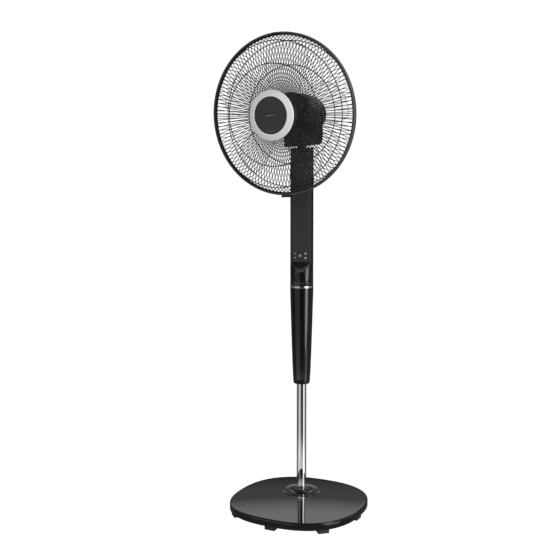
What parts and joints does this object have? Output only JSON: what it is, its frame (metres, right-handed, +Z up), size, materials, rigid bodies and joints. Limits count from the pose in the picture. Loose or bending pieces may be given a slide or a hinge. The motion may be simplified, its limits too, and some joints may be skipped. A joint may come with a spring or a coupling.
{
  "type": "pedestal fan",
  "caption": "Upright floor fan with a rounded square base, chrome pole, button column, wire cage and tilting, turning head.",
  "frame": {"origin": "on the floor, where the axis of the pole meets it", "axes": "+Z up along the pole; -Y is the front of the column, with its buttons; +X is to the right of a viewer who faces the front"},
  "size_m": [0.4388, 0.385, 1.3114],
  "materials": {
    "base_gloss": "glossy black",
    "foot_rubber": "soft black",
    "counterweight": "rough cast, hidden",
    "body_satin": "satin black",
    "panel_satin": "satin dark grey",
    "pole_chrome": "mirror chrome",
    "trim_silver": "satin silver",
    "ring_silver": "silver paint",
    "wire_black": "satin black powder coat",
    "blade_clear": "clear smoky",
    "steel_zinc": "zinc plated",
    "motor_steel": "laminated steel",
    "motor_alloy": "die cast",
    "bearing_brass": "sintered",
    "bush_nylon": "natural nylon",
    "board_green": "solder mask",
    "key_light": "light grey"
  },
  "bodies": {
    "base": {"base_cover": "base_gloss", "base_weight": "counterweight", "base_underplate": "body_satin", "rubber_feet": "foot_rubber", "base_screws": "steel_zinc", "pole_flange": "body_satin", "pole_socket": "body_satin", "pole": "pole_chrome", "pole_bolt": "steel_zinc", "pole_bush": "bush_nylon"},
    "column": {"sleeve": "base_gloss", "sleeve_bush": "bush_nylon", "clamp_shoe": "bush_nylon", "trim_band": "trim_silver", "column_shell": "body_satin", "front_panel": "panel_satin", "column_cap": "body_satin", "cord_inlet": "body_satin", "shell_screws": "steel_zinc", "control_board": "board_green", "tap_switches": "bush_nylon", "drive_bracket": "steel_zinc", "swing_motor": "steel_zinc"},
    "knob": {"lock_knob": "body_satin", "lock_screw": "steel_zinc"},
    "timer_key": {"button_timer": "key_light"},
    "mode_key": {"button_mode": "key_light"},
    "power_key": {"button_power": "key_light"},
    "speed_key": {"button_speed": "key_light"},
    "swing_key": {"button_swing": "key_light"},
    "pinion": {"swing_pinion": "bush_nylon"},
    "neck": {"neck": "body_satin", "neck_gear": "bush_nylon", "neck_clip": "steel_zinc", "tilt_pin": "steel_zinc"},
    "head": {"housing_body": "body_satin", "housing_top": "body_satin", "housing_screws": "steel_zinc", "motor_plate": "motor_alloy", "stator": "motor_steel", "rear_bracket": "motor_alloy", "motor_bolts": "steel_zinc", "front_bearing": "bearing_brass", "rear_bearing": "bearing_brass", "run_capacitor": "body_satin", "rear_grille": "wire_black", "grille_nut": "body_satin", "front_grille": "wire_black", "rim_band": "wire_black", "rim_clip": "body_satin", "latch_pin": "steel_zinc", "hub_ring": "ring_silver", "badge_disc": "body_satin", "badge_screws": "steel_zinc"},
    "rotor": {"rotor_core": "motor_steel", "shaft": "steel_zinc", "fan_blades": "blade_clear", "spinner_nut": "body_satin"},
    "latch": {"rim_latch": "body_satin"}
  },
  "joints": [
    {"name": "height_slide", "type": "slide", "parent": "base", "child": "column", "axis": [0, 0, -1], "range_m": [0, 0.215]},
    {"name": "knob_turn", "type": "hinge", "parent": "column", "child": "knob", "pos_m": [0, 0.03, 0.376], "axis": [0, 1, 0], "range_deg": [0, 180]},
    {"name": "timer_press", "type": "slide", "parent": "column", "child": "timer_key", "axis": [0, 1, 0], "range_m": [0, 0.0008], "stiffness_N_per_m": 400, "springref_m": -0.0004},
    {"name": "mode_press", "type": "slide", "parent": "column", "child": "mode_key", "axis": [0, 1, 0], "range_m": [0, 0.0008], "stiffness_N_per_m": 400, "springref_m": -0.0004},
    {"name": "power_press", "type": "slide", "parent": "column", "child": "power_key", "axis": [0, 1, 0], "range_m": [0, 0.0008], "stiffness_N_per_m": 400, "springref_m": -0.0004},
    {"name": "speed_press", "type": "slide", "parent": "column", "child": "speed_key", "axis": [0, 1, 0], "range_m": [0, 0.0008], "stiffness_N_per_m": 400, "springref_m": -0.0004},
    {"name": "swing_press", "type": "slide", "parent": "column", "child": "swing_key", "axis": [0, 1, 0], "range_m": [0, 0.0008], "stiffness_N_per_m": 400, "springref_m": -0.0004},
    {"name": "swing", "type": "hinge", "parent": "column", "child": "neck", "pos_m": [0, 0, 1], "axis": [0, 0, 1], "range_deg": [-19.5, 60.5]},
    {"name": "pinion_spin", "type": "hinge", "parent": "column", "child": "pinion", "pos_m": [0, 0.0189, 0.991], "axis": [0, 0, 1], "range_deg": [-160, 60]},
    {"name": "tilt", "type": "hinge", "parent": "neck", "child": "head", "pos_m": [0, 0, 1.054], "axis": [-0.9367, 0.3502, 0], "range_deg": [-1, 17.5]},
    {"name": "fan_spin", "type": "hinge", "parent": "head", "child": "rotor", "pos_m": [-0.00311, -0.00832, 1.11415], "axis": [-0.3465, -0.9266, -0.1461], "continuous": true},
    {"name": "latch_swing", "type": "hinge", "parent": "head", "child": "latch", "pos_m": [-0.02939, -0.07859, 0.88291], "axis": [0.9367, -0.3502, 0], "range_deg": [0, 60]}
  ],
  "couplings": [
    {"joint": "pinion_spin", "follows": "swing", "ratio": -2.5}
  ]
}
